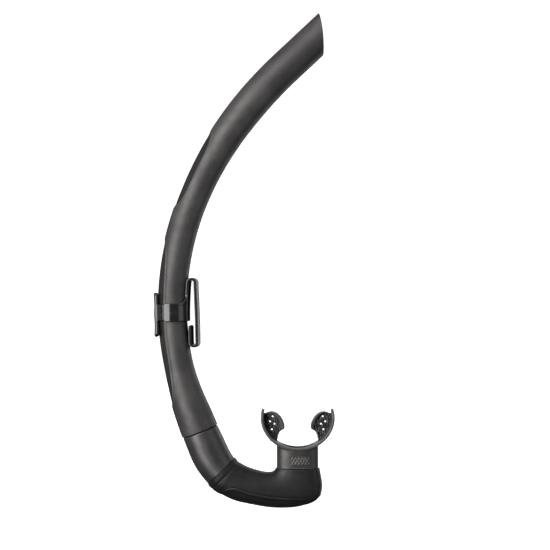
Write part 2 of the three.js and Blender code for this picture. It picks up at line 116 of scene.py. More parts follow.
@lru_cache(maxsize=None)
def centreline(s):
    """The airway's x, z and lean, s millimetres up from the joint plane, or down when s is negative."""
    way = math.copysign(1, s)
    straight, arcs = UPWARDS if s >= 0 else DOWNWARDS
    x, z, lean, left = JOINT_PLANE.x, JOINT_PLANE.z, LEAN, abs(s)
    run = min(left, straight)
    x, z, left = x - way * run * math.sin(lean), z + way * run * math.cos(lean), left - run
    for radius, turn in arcs:
        angle = min(left / radius, turn * DEGREE)
        after = lean - way * angle
        x += radius * (math.cos(lean) - math.cos(after))
        z += radius * (math.sin(lean) - math.sin(after))
        lean, left = after, left - radius * angle
    return x - way * left * math.sin(lean), z + way * left * math.cos(lean), lean


def round_airway(s, radius, angle):
    """A point round the airway. Angle 0 is the inside of the curve, and a half turn is its back."""
    x, z, lean = centreline(round(s, 4))
    out = radius * math.cos(angle)
    return Vector((x + out * math.cos(lean), -radius * math.sin(angle), z + out * math.sin(lean)))


print("clip's arc radius:", round(SLIDE_RADIUS, 1), "joint length:", round(JOINT_LENGTH, 1))


# %% [markdown]
# ## Spinning and bending
# Most of this object is rings and tubes. A lathe makes them: an outline is spun round the Z axis, its sharp
# corners are rounded while it is still straight, and only then is it bent along the airway. Rounding before
# bending keeps every bevel even, because the rings are still true circles.

# %% Tools for turned pieces
def lerp(a, b, share):
    return a + (b - a) * share


def smoothstep(share):
    share = min(max(share, 0), 1)
    return share * share * (3 - 2 * share)


def spaced(start, end, steps):
    return [lerp(start, end, i / steps) for i in range(steps + 1)]


def spun(outline, columns, closed=True):
    """Spins an outline of (radius, height) round Z."""
    bm = bmesh.new()
    points = [bm.verts.new((radius, 0, height)) for radius, height in outline]
    first = 0 if closed else 1
    edges = [bm.edges.new((points[i - 1], points[i])) for i in range(first, len(points))]
    turn = {"cent": (0, 0, 0), "axis": (0, 0, 1), "dvec": (0, 0, 0), "angle": 2 * math.pi}
    bmesh.ops.spin(bm, geom=points + edges, steps=columns, use_merge=True, **turn)
    return bm


def soften(bm, width, segments=3, sharper_than=50):
    """Rounds every edge that is sharper than an angle in degrees."""
    sharp = [e for e in bm.edges if len(e.link_faces) == 2 and e.calc_face_angle() > sharper_than * DEGREE]
    kind = {"offset_type": "OFFSET", "profile": 0.5, "affect": "EDGES", "material": -1}
    bmesh.ops.bevel(bm, geom=sharp, offset=width, segments=segments, clamp_overlap=True, **kind)


def placed(bm, place):
    """Moves every vertex to place(co)."""
    for vertex in bm.verts:
        vertex.co = place(vertex.co.copy())
    return bm


def bent(bm, swell=lambda s, angle: 0):
    """Bends a spun piece along the airway, where its height becomes the distance along it."""

    def place(co):
        angle = math.atan2(co.y, co.x)
        return round_airway(co.z, math.hypot(co.x, co.y) + swell(co.z, angle), angle)

    return placed(bm, place)


# %% [markdown]
# ## Finishing a piece
# A finished piece is a mesh in metres whose object sits at the origin. Each vertex also keeps how far it
# stands out from its neighbours, as an attribute called relief: the materials paint a highlight on ridges
# and shade in hollows with it, and a material can read that on any piece without knowing its shape.

# %% Make a piece and hang it on its body
def add_relief(bm):
    """Stores curvature, about -1 in a sharp hollow and 1 on a sharp ridge."""
    relief = bm.verts.layers.float.new("relief")
    for vertex in bm.verts:
        around = [edge.other_vert(vertex).co for edge in vertex.link_edges]
        middle = sum(around, Vector()) / len(around)
        spread = sum((co - vertex.co).length_squared for co in around) / len(around)
        bend = (vertex.co - middle).dot(vertex.normal) / max(spread, 1e-6)
        vertex[relief] = min(max(1.5 * bend, -1), 1)


def piece(name, bm, body, material):
    """Turns a bmesh in millimetres into the piece that stands for the CAD node of the same name."""
    bmesh.ops.recalc_face_normals(bm, faces=bm.faces)
    bm.normal_update()
    add_relief(bm)
    bmesh.ops.scale(bm, vec=Vector((METRES, METRES, METRES)), verts=bm.verts)
    for face in bm.faces:
        face.smooth = True
    mesh = bpy.data.meshes.new(name + "_shape")
    bm.to_mesh(mesh)
    bm.free()
    mesh.materials.append(material)
    made = bpy.data.objects.new(name + "_piece", mesh)
    bpy.context.scene.collection.objects.link(made)
    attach(made, body)
    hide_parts(name)
    corners = [vertex.co for vertex in mesh.vertices]
    cad_low, cad_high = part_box(name)
    spans = [max(co[i] for co in corners) - min(co[i] for co in corners) for i in range(3)]
    cad_spans = cad_high - cad_low
    print(name, len(mesh.polygons), "faces;", [round(s / METRES, 1) for s in spans], "mm, CAD",
          [round(s / METRES, 1) for s in cad_spans])
    return made


# %% [markdown]
# ## Shader maths in Python
# A procedural finish is arithmetic on textures. Wiring each Math node by hand hides that arithmetic, so a
# small class wraps a socket and lets Python's own operators add the nodes. Everything else goes through one
# method that takes a node's type, its settings and its sockets.

# %% A socket that does arithmetic, and a material in the making
class Value:
    """An output socket. Arithmetic on it adds Math nodes."""

    def __init__(self, finish, socket):
        self.finish = finish
        self.socket = socket

    def maths(self, operation, *values):
        return self.finish.node("ShaderNodeMath", {"operation": operation}, dict(enumerate(values)))

    def __add__(self, other):
        return self.maths("ADD", self, other)

    def __sub__(self, other):
        return self.maths("SUBTRACT", self, other)

    def __rsub__(self, other):
        return self.maths("SUBTRACT", other, self)

    def __mul__(self, other):
        return self.maths("MULTIPLY", self, other)

    def __abs__(self):
        return self.maths("ABSOLUTE", self)

    def squared(self):
        return self.maths("MULTIPLY", self, self)

    def ranged(self, start, end, low=0.0, high=1.0):
        """Runs smoothly from low at start to high at end."""
        settings = {"interpolation_type": "SMOOTHSTEP"}
        sockets = {"Value": self, "From Min": start, "From Max": end, "To Min": low, "To Max": high}
        return self.finish.node("ShaderNodeMapRange", settings, sockets)

    __radd__ = __add__
    __rmul__ = __mul__


class Finish:
    """A material in the making."""

    def __init__(self, name):
        self.material = bpy.data.materials.new(name)
        self.material.use_nodes = True
        self.nodes = self.material.node_tree.nodes
        self.shader = self.nodes["Principled BSDF"]
        self.place = self.node("ShaderNodeTexCoord", {}, {}, "Object")
        self.relief = self.attribute("relief")

    def node(self, kind, settings, sockets, output=0):
        made = self.nodes.new(kind)
        for name, value in settings.items():
            setattr(made, name, value)
        for name, value in sockets.items():
            self.feed(made.inputs[name], value)
        return Value(self, made.outputs[output])

    def feed(self, socket, value):
        if isinstance(value, Value):
            self.material.node_tree.links.new(value.socket, socket)
        else:
            socket.default_value = value

    def axes(self):
        """The object's x, y and z in millimetres."""
        return [self.node("ShaderNodeSeparateXYZ", {}, {0: self.place}, axis) * 1000 for axis in "XYZ"]

    def noise(self, size, detail=3, roughness=0.5, place=None):
        """Soft noise whose blotches are about size millimetres across."""
        sockets = {"Vector": place or self.place, "Scale": 1000 / size}
        sockets |= {"Detail": detail, "Roughness": roughness}
        return self.node("ShaderNodeTexNoise", {}, sockets)

    def pebbles(self, size):
        """Rounded cells about size millimetres across, high in their middles."""
        settings = {"feature": "SMOOTH_F1"}
        sockets = {"Vector": self.place, "Scale": 1000 / size, "Smoothness": 0.6}
        return 1 - self.node("ShaderNodeTexVoronoi", settings, sockets, "Distance")

    def stretched(self, along):
        """The object's coordinates with each axis divided by a length."""
        scale = tuple(1 / length for length in along)
        return self.node("ShaderNodeMapping", {}, {"Vector": self.place, "Scale": scale})

    def attribute(self, name):
        return self.node("ShaderNodeAttribute", {"attribute_name": name}, {}, "Fac")

    def mix(self, share, first, second):
        """A colour between two, by a share."""
        settings = {"data_type": "RGBA"}
        return self.node("ShaderNodeMix", settings, {0: share, 6: first, 7: second}, 2)

    def bump(self, height, depth, strength=1.0, under=None):
        """A normal from heights, depth millimetres from low to high."""
        sockets = {"Height": height, "Distance": depth * METRES, "Strength": strength}
        if under:
            sockets["Normal"] = under
        return self.node("ShaderNodeBump", {}, sockets)

    def done(self, **inputs):
        for name, value in inputs.items():
            self.feed(self.shader.inputs[name.replace("_", " ")], value)
        return self.material


def grey(value, warmth=0.0):
    """A near-grey colour; warmth above 0 leans to red brown."""
    return (value * (1 + warmth), value, value * (1 - warmth / 4), 1)


# %% [markdown]
# ## Barrel rubber
# The barrel is moulded in a spark-eroded cavity, which leaves a fine even grain and a matte, slightly warm
# charcoal. Two sizes of grain make the bump, and a slow noise shifts the tone a little, as rubber does where
# it has been handled. The relief attribute lightens the flute's lip and other ridges as a painted highlight,
# and darkens hollows as painted shade. The flutes are smoother, and their colour is darkened as painted shade
# in the recess; a second attribute, stored with the barrel's shape, says where they are.

# %% Barrel finish
def barrel_rubber():
    finish = Finish("barrel_rubber_grained")
    mottle = finish.noise(26, detail=4)
    grain = finish.pebbles(0.95) * 0.6 + finish.noise(0.5, detail=2) * 0.4
    tone = (mottle.ranged(0.35, 0.65) * 0.4 + finish.noise(1.1, detail=2) * 0.6).ranged(0.25, 0.75)
    skin = finish.mix(tone, grey(0.02, 0.04), grey(0.035, 0.045))
    flute = finish.attribute("flute")
    # painted shade: the flutes' colour is darkened where the recess is less lit
    body = finish.mix(flute * 0.9, skin, grey(0.005, 0.03))
    # painted highlight on ridges and painted shade in hollows, both read from the relief attribute
    edge_highlight_painted = finish.mix(finish.relief.ranged(0.12, 0.6, 0, 0.55), body, grey(0.085, 0.04))
    hollow_shade_painted = finish.mix(finish.relief.ranged(-0.1, -0.6, 0, 0.7), edge_highlight_painted, grey(0.02, 0.02))
    roughness = finish.noise(9, detail=3).ranged(0.3, 0.7, 0.48, 0.58) - flute * 0.12
    return finish.done(Base_Color=hollow_shade_painted, Roughness=roughness, Normal=finish.bump(grain, 0.13, 0.9))


BARREL_RUBBER = barrel_rubber()

# %% [markdown]
# ## Sleeve and elbow rubber
# The short sleeve between the two seams is the same rubber in a smoother cavity, so it takes a firmer
# highlight. The elbow is darker and smoother still. Both share one recipe with different tones, as they
# share a press.

# %% Sleeve and elbow finishes
def smooth_rubber(name, dark, light, warmth, gloss, shine=0.5):
    finish = Finish(name)
    tone = finish.noise(18, detail=5, roughness=0.6).ranged(0.3, 0.7)
    body = finish.mix(tone, grey(dark, warmth), grey(light, warmth))
    # painted highlight on ridges and painted shade in hollows, both read from the relief attribute
    edge_highlight_painted = finish.mix(finish.relief.ranged(0.12, 0.7, 0, 0.5), body, grey(light * 1.9, warmth))
    hollow_shade_painted = finish.mix(finish.relief.ranged(-0.1, -0.6, 0, 0.7), edge_highlight_painted, grey(dark * 0.5, warmth))
    texture = finish.noise(0.5, detail=2) * 0.7 + finish.noise(4, detail=3) * 0.3
    roughness = finish.noise(7, detail=4).ranged(0.3, 0.7, gloss - 0.05, gloss + 0.07)
    normal = finish.bump(texture, 0.05, 0.5)
    return finish.done(Base_Color=hollow_shade_painted, Roughness=roughness, Normal=normal, Specular_IOR_Level=shine)


SLEEVE_RUBBER = smooth_rubber("sleeve_rubber_satin", 0.018, 0.026, 0.02, 0.42)
ELBOW_RUBBER = smooth_rubber("elbow_rubber_smooth", 0.006, 0.009, 0.02, 0.5, 0.32)
SEAL_RUBBER = smooth_rubber("seal_rubber_greased", 0.008, 0.014, 0.0, 0.3)

# %% [markdown]
# ## Silicone
# The mouthpiece is soft liquid silicone: a satin skin with almost no grain, except on the bite tabs, which
# have a pebbled face so that teeth hold them. The pebbles are a mask on the object's own coordinates:
# inside the shield's ellipse and close to the middle plane.

# %% Silicone finish
SHIELD_WIDTH, SHIELD_DEPTH, SHIELD_WALL = 32.1, 28.9, 2.6  # half widths of its ellipse, and its thickness
SHIELD_CENTRE = SHIELD_DEPTH - SHIELD_WALL


def mouthpiece_silicone():
    finish = Finish("mouthpiece_silicone_satin")
    x, y, z = finish.axes()
    across = (x * (1 / (SHIELD_WIDTH - SHIELD_WALL - 0.4))).squared()
    upright = ((z - SHIELD_CENTRE) * (1 / (SHIELD_DEPTH - SHIELD_WALL - 0.4))).squared()
    within = (across + upright).ranged(1.0, 0.97) * abs(y).ranged(3.4, 2.4)
    tone = finish.noise(12, detail=4).ranged(0.3, 0.7)
    body = finish.mix(tone, grey(0.024, 0.03), grey(0.033, 0.035))
    # the bite tabs are darker, and painted shade darkens the gaps between their pebbles
    bite = finish.mix(finish.pebbles(1.15).ranged(0.3, 0.9), grey(0.002), grey(0.008, 0.03))
    toned = finish.mix(within, body, bite)
    # painted highlight: ridges and edges are lightened through the relief attribute
    with_edge_highlight = finish.mix(finish.relief.ranged(0.05, 0.45, 0, 0.85), toned, grey(0.12, 0.04))
    pebbled = finish.bump(finish.pebbles(1.15) * within, 0.5, 0.9)
    skin = finish.bump(finish.noise(0.6, detail=2), 0.03, 0.4, pebbled)
    roughness = finish.noise(6, detail=4).ranged(0.3, 0.7, 0.36, 0.46) - within * 0.14
    return finish.done(Base_Color=with_edge_highlight, Roughness=roughness, Normal=skin, Specular_IOR_Level=0.35)


MOUTHPIECE_SILICONE = mouthpiece_silicone()

# %% [markdown]
# ## Hard plastics
# The strap clip is polished black plastic. What makes it read as plastic and not paint is a faint waviness
# that bends reflections and a haze of fine rubbing marks, so roughness varies in streaks. The thumb plate
# and the inner parts come from satin cavities.

# %% Plastic finishes
def polished_plastic():
    finish = Finish("clip_plastic_polished")
    streaks = finish.noise(1, detail=4, place=finish.stretched((1.2, 1.2, 9)))
    haze = finish.noise(5, detail=4)
    body = finish.mix(haze.ranged(0.3, 0.7), grey(0.009), grey(0.014, 0.02))
    # painted highlight: ridges and edges are lightened through the relief attribute
    with_edge_highlight = finish.mix(finish.relief.ranged(0.15, 0.8, 0, 0.35), body, grey(0.07, 0.03))
    roughness = streaks.ranged(0.35, 0.75, 0.1, 0.24) + haze.ranged(0.4, 0.8, 0, 0.06)
    wave = finish.bump(finish.noise(4, detail=1), 0.05, 0.35)
    return finish.done(Base_Color=with_edge_highlight, Roughness=roughness, Normal=wave)


def satin_plastic(name, dark, light, gloss):
    finish = Finish(name)
    spark = finish.noise(0.35, detail=2)
    tone = finish.noise(8, detail=4).ranged(0.3, 0.7)
    body = finish.mix(tone, grey(dark, -0.02), grey(light, -0.02))
    # painted highlight: ridges and edges are lightened through the relief attribute
    with_edge_highlight = finish.mix(finish.relief.ranged(0.2, 0.9, 0, 0.5), body, grey(light * 2.5))
    roughness = finish.noise(3, detail=3).ranged(0.3, 0.7, gloss - 0.05, gloss + 0.08)
    return finish.done(Base_Color=with_edge_highlight, Roughness=roughness, Normal=finish.bump(spark, 0.02, 0.6))


CLIP_PLASTIC = polished_plastic()
PLATE_PLASTIC = satin_plastic("plate_plastic_satin", 0.004, 0.008, 0.22)
INNER_PLASTIC = satin_plastic("inner_plastic_smooth", 0.012, 0.018, 0.38)
print("materials:", [material.name for material in bpy.data.materials])

# %% [markdown]
# ## The barrel's flutes
# Two boat-shaped flutes are moulded into the back of the barrel. The lower one has a lip: a low bead, then
# a groove, then the barrel's skin. A displacement on an even grid would cut its edge into steps, so the
# columns of the grid are moved to run along the lip, and the depth is read from a section drawn across it.

# %% Flute sections, and columns that follow a flute's edge
LIP = [(-3.6, 0.95), (-2.3, 0.3), (-1.6, 0.05), (-0.8, 0.1), (0.0, 0.45), (0.9, 0.0)]  # mm across it, mm deep
SCOOP = [(-3.6, 0.9), (-1.8, 0.55), (-0.8, 0.15), (0.0, 0.0)]
EDGE_COLUMNS = [-3.6, -2.9, -2.3, -1.9, -1.6, -1.2, -0.8, -0.4, 0.0, 0.45, 0.9, 1.5]
INNER_COLUMNS, OUTER_COLUMNS = 18, 50
HALF_COLUMNS = INNER_COLUMNS + len(EDGE_COLUMNS) + OUTER_COLUMNS - 1
COLUMNS = 2 * HALF_COLUMNS
REST_REACH = 62 * DEGREE  # of the columns' edge where there is no flute
NARROWEST = 0.03  # share of a flute's width that is left at its ends
SECTION_ROOM = 4.5  # mm from a flute's middle to its edge that a whole section needs


def depth_across(section, across):
    """The depth at a distance across a flute's edge, where outside is positive."""
    if across <= section[0][0]:
        return section[0][1]
    for (a, deep), (b, shallow) in zip(section, section[1:]):
        if across <= b:
            return lerp(deep, shallow, smoothstep((across - a) / (b - a)))
    return 0.0


def boat(x):
    """The half width of a boat's plan at x from -1 to 1, as a share of its widest."""
    return math.sqrt(max(0.0, 1 - x**4))


def narrowed(reach, radius):
    """The scale of an edge's section: 1, and less where the flute is too narrow to hold all of it."""
    return min(1, reach * radius / SECTION_ROOM)


def across_edge(turn, reach, radius):
    """How far outside a flute's edge a turn from its middle is, in the section's millimetres."""
    return (abs(turn) - reach) * radius / narrowed(reach, radius)


@lru_cache(maxsize=None)
def column_angles(reach, radius):
    """Half a ring's angles from the flute's middle, with columns gathered round its edge."""
    narrow = narrowed(reach, radius)
    edge = [reach + narrow * across / radius for across in EDGE_COLUMNS]
    inner = [edge[0] * i / INNER_COLUMNS for i in range(INNER_COLUMNS)]
    outer = spaced(edge[-1], math.pi, OUTER_COLUMNS)[1:]
    return inner + edge + outer


def turn_from_middle(co, reach, radius):
    """The signed angle from the flute's middle that a spun vertex takes on the gathered columns."""
    column = round(math.atan2(co.y, co.x) / (2 * math.pi) * COLUMNS) % COLUMNS
    nearest = min(column, COLUMNS - column)
    angle = column_angles(round(reach, 5), round(radius, 3))[nearest]
    return angle if column <= HALF_COLUMNS else -angle


print("barrel columns:", COLUMNS)

# %% [markdown]
# ## The barrel
# The barrel is one soft tube: thick at its socket, slim where the clip slides, thicker again at the top,
# and cut on a slant at the open end. The outline has dense rings where flutes end. Near the top the rings
# are squeezed towards the slanted face, so the last ring lies on it and no cut is needed.

# %% Barrel
FLUTES = [  # from, to, reach, section
    (27, 170, 66 * DEGREE, LIP),
    (194, 267, 60 * DEGREE, SCOOP),
]
SKIN_ABOVE = BORE + 1.5  # vertices further out than this are skin, and the others are bore
LIP_MARGIN, FLUTE_FADE = 1.2, 1.4  # mm inside the edge that the lip keeps its tone, and the fade after it
CUT_TURN = 6.5 * DEGREE  # of the slanted face from upright
CUT_BULGE = 150  # its radius: the face is slightly domed
SQUEEZE_FROM = 330  # the s where rings start to lean towards it


def barrel_radius(s):
    foot = smoothstep(1 - s / 66)
    top = smoothstep((s - 193) / 122)
    return WAIST + (SOCKET + 2.2 - WAIST) * foot + 1.7 * top


def flute_at(s):
    """The reach of the columns' edge at s, and the depth as a function of the distance across it."""
    nearest = REST_REACH
    for start, end, reach, section in FLUTES:
        x = 2 * (s - start) / (end - start) - 1
        if abs(x) <= 1:
            ends = smoothstep((1 - abs(x)) * (end - start) / 2 / 5)
            return reach * max(boat(x), NARROWEST), section, ends
        gap = start - s if x < 0 else s - end
        nearest = min(nearest, lerp(reach * NARROWEST, REST_REACH, smoothstep(gap / 12)))
    return nearest, None, 0


TOP_RADIUS = barrel_radius(BARREL_LENGTH)
TIP = round_airway(BARREL_LENGTH, TOP_RADIUS, math.pi)
FACE = 2 * TOP_RADIUS / math.cos(math.pi / 2 - abs(centreline(BARREL_LENGTH)[2]) - CUT_TURN)
FACE_OUT = Vector((math.cos(CUT_TURN), 0, math.sin(CUT_TURN)))
FACE_UP = Vector((-math.sin(CUT_TURN), 0, math.cos(CUT_TURN)))
FACE_SUNK = math.sqrt(CUT_BULGE**2 - (FACE / 2) ** 2)


def beyond_face(point):
    """How far a point lies past the slanted end face."""
    from_tip = point - TIP
    height = from_tip.dot(FACE_UP) + FACE / 2
    return from_tip.dot(FACE_OUT) - (math.sqrt(CUT_BULGE**2 - height**2) - FACE_SUNK)


@lru_cache(maxsize=None)
def face_distance(radius, angle):
    """The s where a line along the barrel meets the slanted face."""
    low, high = SQUEEZE_FROM - 10, BARREL_LENGTH + 5
    for _ in range(26):
        middle = (low + high) / 2
        if beyond_face(round_airway(middle, radius, angle)) > 0:
            high = middle
        else:
            low = middle
    return low


def barrel_place(co):
    s, radius = co.z, math.hypot(co.x, co.y)
    skin = barrel_radius(s)
    reach, section, ends = flute_at(round(s, 3))
    turn = turn_from_middle(co, reach, skin)
    if section and radius > SKIN_ABOVE:
        radius -= depth_across(section, across_edge(turn, reach, skin)) * ends
    angle = math.pi + turn
    if s > SQUEEZE_FROM:
        end = face_distance(round(radius, 2), round(angle, 5))
        s = SQUEEZE_FROM + (s - SQUEEZE_FROM) * (end - SQUEEZE_FROM) / (BARREL_LENGTH - SQUEEZE_FROM)
    return round_airway(s, radius, angle)


def in_flute(co):
    """1 inside a flute and 0 outside it, for the finish's painted shade and gloss. The lip is painted dark
    too near a flute's ends.
    """
    reach, section, ends = flute_at(round(co.z, 3))
    skin = barrel_radius(co.z)
    if not section or math.hypot(co.x, co.y) < SKIN_ABOVE:
        return 0
    across = across_edge(turn_from_middle(co, reach, skin), reach, skin)
    widest = max(full for _, _, full, kind in FLUTES if kind is section)
    margin = LIP_MARGIN * smoothstep((reach / widest - 0.75) / 0.2) if section is LIP else 0.0
    return ends * smoothstep((-across - margin) / FLUTE_FADE)


def barrel_rings():
    """Distances of the outside's rings: even, and dense where flutes end."""
    even = spaced(0, BARREL_LENGTH, 236)
    dense = [s for start, end, _, _ in FLUTES for at in (start, end) for s in spaced(at - 5, at + 5, 24)]
    rings = []
    for s in sorted(even + dense):
        if not rings or s - rings[-1] > 0.35:
            rings.append(s)
    return [s for s in rings if not 0 < s < 1.2 and s < BARREL_LENGTH - 1.5] + [BARREL_LENGTH]


def make_barrel():
    outside = [(barrel_radius(s), s) for s in barrel_rings()]
    rim = [(r, BARREL_LENGTH) for r in spaced(TOP_RADIUS, BORE, 3)[1:-1]]
    bore = [(BORE, s) for s in spaced(BARREL_LENGTH, SOCKET_DEPTH, 70)]
    socket = [(SOCKET, s) for s in spaced(SOCKET_DEPTH, 0, 6)]
    bm = spun(outside + rim + bore + socket, COLUMNS)
    soften(bm, 0.9, segments=4)
    flute = bm.verts.layers.float.new("flute")
    for vertex in bm.verts:
        vertex[flute] = in_flute(vertex.co)
    return placed(bm, barrel_place)


piece("barrel", make_barrel(), "barrel", BARREL_RUBBER)

# %% [markdown]
# ## Inside the joint
# The barrel turns and pulls off on a hard spigot. A liner in the socket runs on it, and an O-ring in a
# groove makes the seal and the drag that is felt when it turns. They are plain turned rings, with their
# corners broken.

# %% Liner, O-ring and joint core
O_RING, O_RING_AT, GROOVE_FLOOR = 0.75, 8.5, SPIGOT - 1.4
UPPER_SPIGOT, LOWER_SPIGOT = 17.5, 12


def make_liner():
    top = UPPER_SPIGOT + 1 + SLIP
    outer = [(LINER_OUTER, s) for s in spaced(SLIP, top, 6)]
    inner = [(LINER_INNER, s) for s in spaced(top, SLIP, 6)]
    bm = spun(outer + inner, 96)
    soften(bm, 0.3)
    return bent(bm)


def make_o_ring():
    middle = GROOVE_FLOOR + SLIP / 2 + O_RING
    turns = spaced(0, 2 * math.pi, 20)[1:]
    return bent(spun([(middle + O_RING * math.cos(a), O_RING_AT + O_RING * math.sin(a)) for a in turns], 96))


def make_core():
    foot, groove = -JOINT_LENGTH - LOWER_SPIGOT, O_RING + SLIP
    low, high = O_RING_AT - groove, O_RING_AT + groove
    outline = [(SPIGOT - 1.2, foot), *[(SPIGOT, s) for s in spaced(foot + 1.2, low, 30)]]
    outline += [(GROOVE_FLOOR, low), (GROOVE_FLOOR, high), (SPIGOT, high)]
    outline += [(SPIGOT, UPPER_SPIGOT - 1.2), (SPIGOT - 1.2, UPPER_SPIGOT)]
    outline += [(BORE, s) for s in spaced(UPPER_SPIGOT, foot, 34)]
    bm = spun(outline, 112)
    soften(bm, 0.25, segments=2, sharper_than=40)
    return bent(bm)


piece("barrel_socket_liner", make_liner(), "barrel", INNER_PLASTIC)
piece("barrel_o_ring", make_o_ring(), "seal", SEAL_RUBBER)
piece("joint_core", make_core(), "lower", INNER_PLASTIC)

# %% [markdown]
# ## The joint's sleeve
# A short rubber sleeve covers the joint between two dark seams. It swells towards the inside of the bend,
# which fills the crook of the knee, and its upper edge is turned over where the barrel's foot meets it.

# %% Sleeve
SLEEVE_SWELL = 1.3


def make_sleeve():
    top, foot = -SLIP, -JOINT_LENGTH
    outer = [(SLEEVE, s) for s in spaced(foot, top - 1.2, 44)] + [(SLEEVE - 0.15, top - 0.45)]
    inner = [(SPIGOT + SLIP, s) for s in spaced(top, foot, 20)]
    bm = spun([*outer, (SLEEVE - 0.6, top), *inner], 144)
    soften(bm, 0.35, sharper_than=35)

    def swell(s, angle):
        along = min(max(-s / JOINT_LENGTH, 0), 1)
        return SLEEVE_SWELL * math.sin(math.pi * along) * max(0, math.cos(angle))

    return bent(bm, swell)


piece("joint_sleeve", make_sleeve(), "lower", SLEEVE_RUBBER)

# %% [markdown]
# ## The elbow's shape
# The elbow turns the airway up to the mouth and goes from round to oval on the way. Its skin is a loft
# through nine sections, each given by its two ends in the middle plane and its depth. A smooth curve runs
# through the ends, and the sections between are superellipses that grow squarer towards the neck.

# %% Elbow sections
MOUTH_SLEEVE = (36.3 / 2, 21.8 / 2)  # half width and half depth of the mouthpiece's oval sleeve
NECK_TOP = -18.1
NECK = (MOUTH_SLEEVE[0] + 1.1, MOUTH_SLEEVE[1] + 1.1)
OVAL_POWER = 2.7
RIM = 5.2  # length of the raised rim under the sleeve
ELBOW_START = centreline(round(-JOINT_LENGTH, 4))


def at_start(across, down):
    x, z, lean = ELBOW_START
    slide, drop = Vector((math.cos(lean), math.sin(lean))), Vector((math.sin(lean), -math.cos(lean)))
    return Vector((x, z)) + slide * across + drop * down


def under_neck(x, down):
    return Vector((x, NECK_TOP - down))


SECTIONS = [  # inside end, outside end, half depth
    (at_start(COLLAR, SLIP), at_start(-COLLAR, SLIP), COLLAR),
    (at_start(COLLAR, RIM), at_start(-COLLAR - 0.6, RIM), COLLAR - 0.15),
    (under_neck(-43.5, -1.2), under_neck(-58.2, 27.8), 15.7),
    (under_neck(-34, 2), under_neck(-41, 32.1), 15.2),
    (under_neck(-26.4, 3.4), under_neck(-20, 35.1), 14.6),
    (under_neck(-NECK[0] - 3, 3.1), under_neck(2, 33.8), 14.0),
    (under_neck(-NECK[0] - 1, 1.8), under_neck(NECK[0] - 1.6, 27.7), 13.3),
    (under_neck(-NECK[0] - 0.3, 1), under_neck(NECK[0] + 2.2, 16.9), 12.5),
    (under_neck(-NECK[0], 0), under_neck(NECK[0], 0), NECK[1]),
]


def curve_through(points, share):
    """A smooth curve through points. Knots spaced by the root of their distances keep it from looping."""
    last = len(points) - 1
    i = min(int(share * last), last - 1)
    w = share * last - i
    b, c = points[i], points[i + 1]
    a = points[i - 1] if i else 2 * b - c
    d = points[i + 2] if i + 2 <= last else 2 * c - b
    before, across, after = [math.sqrt((q - p).length) for p, q in ((a, b), (b, c), (c, d))]
    leave = ((b - a) / before - (c - a) / (before + across) + (c - b) / across) * across
    arrive = ((c - b) / across - (d - b) / (across + after) + (d - c) / after) * across
    bend, twist = 3 * (c - b) - 2 * leave - arrive, leave + arrive - 2 * (c - b)
    return b + leave * w + bend * w**2 + twist * w**3


@lru_cache(maxsize=None)
def elbow_section(t):
    """The middle, outward direction, half width, half depth and squareness of the skin's section at t."""
    inside = curve_through([s[0] for s in SECTIONS], t)
    outside = curve_through([s[1] for s in SECTIONS], t)
    depth = curve_through([Vector((s[2], 0)) for s in SECTIONS], t).x
    half = (outside - inside).length / 2
    power = lerp(2, OVAL_POWER, smoothstep(1.3 * t))
    return (inside + outside) / 2, (outside - inside) / (2 * half), half, depth, power


def superellipse(angle, power):
    c, s = math.cos(angle), math.sin(angle)
    return math.copysign(abs(c) ** (2 / power), c), math.copysign(abs(s) ** (2 / power), s)


def elbow_skin(t, angle, inset):
    """A point under the elbow's skin; angle 0 is the outside of the bend."""
    middle, out, half, depth, power = elbow_section(round(t, 5))
    along, across = superellipse(angle, power)
    flat = middle + out * along * (half - inset)
    return Vector((flat.x, -across * (depth - inset), flat.y))


print("elbow neck half width and depth:", NECK)

# %% [markdown]
# ## The elbow
# The loft is spun as a straight tube whose height stands for the share of the way along, and whose radius
# stands for the depth under the skin. Placing its vertices through the loft bends it into the J. The raised
# rim and the boat-shaped flute under the bend are depths too, read at each vertex.

# %% Elbow
LOFT_HEIGHT, LOFT_RADIUS = 130, 60  # of the straight tube, in millimetres
ELBOW_RADIUS = 15  # about the real skin's, which turns the flute's angles into millimetres
ELBOW_FLUTE = (0.168, 0.806)  # shares of the way from the sleeve to the neck
WIDEST, CLOSED = 82 * DEGREE, 2 * DEGREE  # half angles of that flute, and of the columns where it has ended
SOCKET_END = 0.17


def elbow_reach(t):
    """The half angle of the flute under the elbow: blunt at the rim, and long and slim towards the neck."""
    start, end = ELBOW_FLUTE
    share = (t - start) / (end - start)
    if not 0 <= share <= 1:
        gap = (start - t if share < 0 else t - end) * LOFT_HEIGHT
        return lerp(CLOSED, REST_REACH, smoothstep(gap / 12)), 0
    blunt = math.sqrt(max(0.0, 1 - (1 - min(share / 0.13, 1)) ** 2))
    slim = math.sqrt(max(0.0, 1 - max(0, (share - 0.45) / 0.55) ** 2.6))
    ends = smoothstep(min(share, 1 - share) * (end - start) * LOFT_HEIGHT / 5)
    return max(WIDEST * blunt * slim * lerp(1, 0.95, share), CLOSED), ends


def rim_height(down):
    """How far the rim stands proud, by the distance from the sleeve."""
    return 0.3 * smoothstep((RIM - 0.6 - down) / 0.8) - 0.25 * smoothstep(1 - abs(down - RIM) / 0.8)


def elbow_place(co):
    t = min(max(co.z / LOFT_HEIGHT, 0), 1)
    inset = LOFT_RADIUS - math.hypot(co.x, co.y)
    reach, ends = elbow_reach(round(t, 5))
    turn = turn_from_middle(co, reach, ELBOW_RADIUS)
    if inset < 2:
        inset += depth_across(LIP, across_edge(turn, reach, ELBOW_RADIUS)) * ends
        inset -= rim_height(t * (len(SECTIONS) - 1) * RIM)
    return elbow_skin(t, turn, inset)


